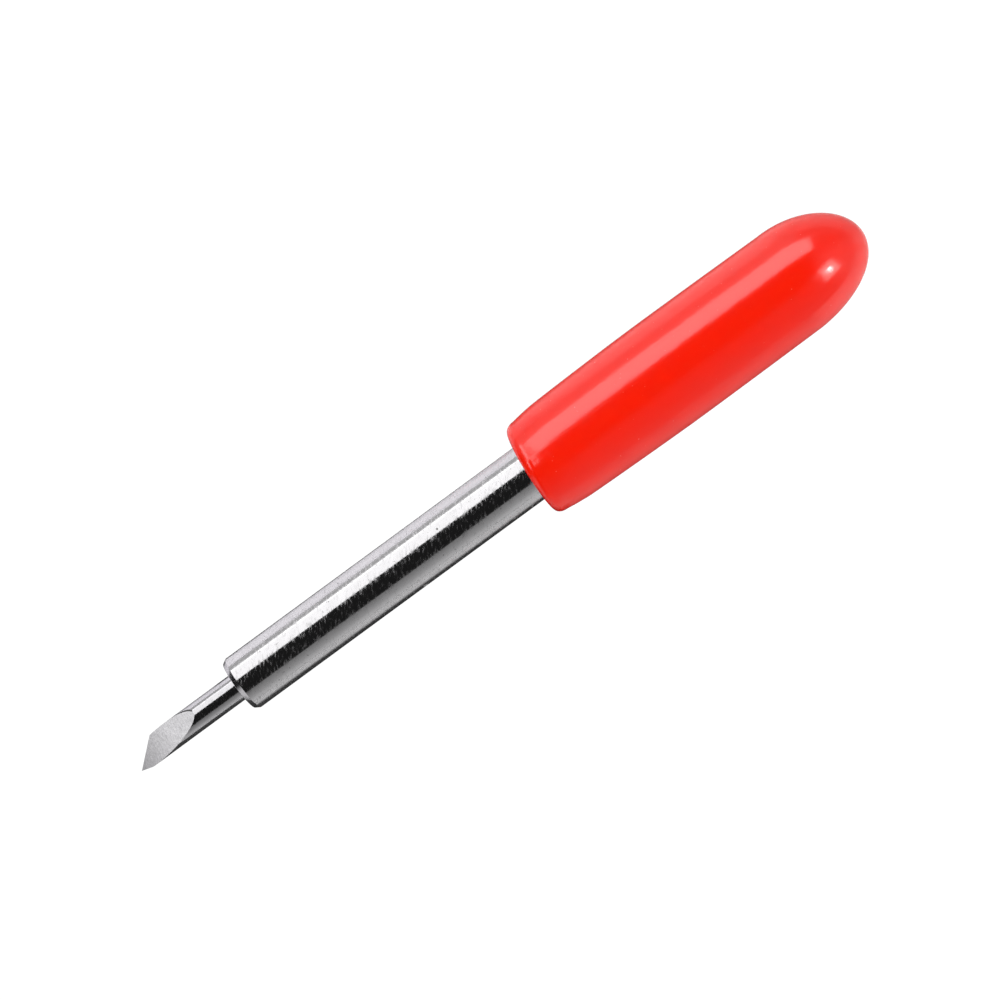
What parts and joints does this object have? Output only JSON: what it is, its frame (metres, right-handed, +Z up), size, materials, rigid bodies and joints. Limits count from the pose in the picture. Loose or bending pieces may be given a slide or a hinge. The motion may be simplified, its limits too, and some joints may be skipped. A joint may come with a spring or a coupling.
{
  "type": "plotter drag knife with cap",
  "caption": "Slim steel cutter shank with a carbide blade ground to a slanted point, and a push-on domed vinyl cap over its tail.",
  "frame": {"origin": "on the plane that the cap lies on, under the middle of the tool's length", "axes": "+X along the tool's axis from the blade's tip to the cap's domed end, +Z up out of the resting plane; the ground facet faces up, turned a little towards +Y"},
  "size_m": [0.0302, 0.0038, 0.0038],
  "materials": {
    "shank_steel": "finely ground and polished",
    "carbide": "ground, satin on the facet",
    "cap_vinyl": "glossy dipped soft vinyl"
  },
  "bodies": {
    "knife": {"shank": "shank_steel", "carbide_blade": "carbide"},
    "cap": {"cap": "cap_vinyl"}
  },
  "joints": [
    {"name": "cap_slide", "type": "slide", "parent": "knife", "child": "cap", "axis": [1, 0, 0], "range_m": [-0.004, 0.0095]}
  ]
}
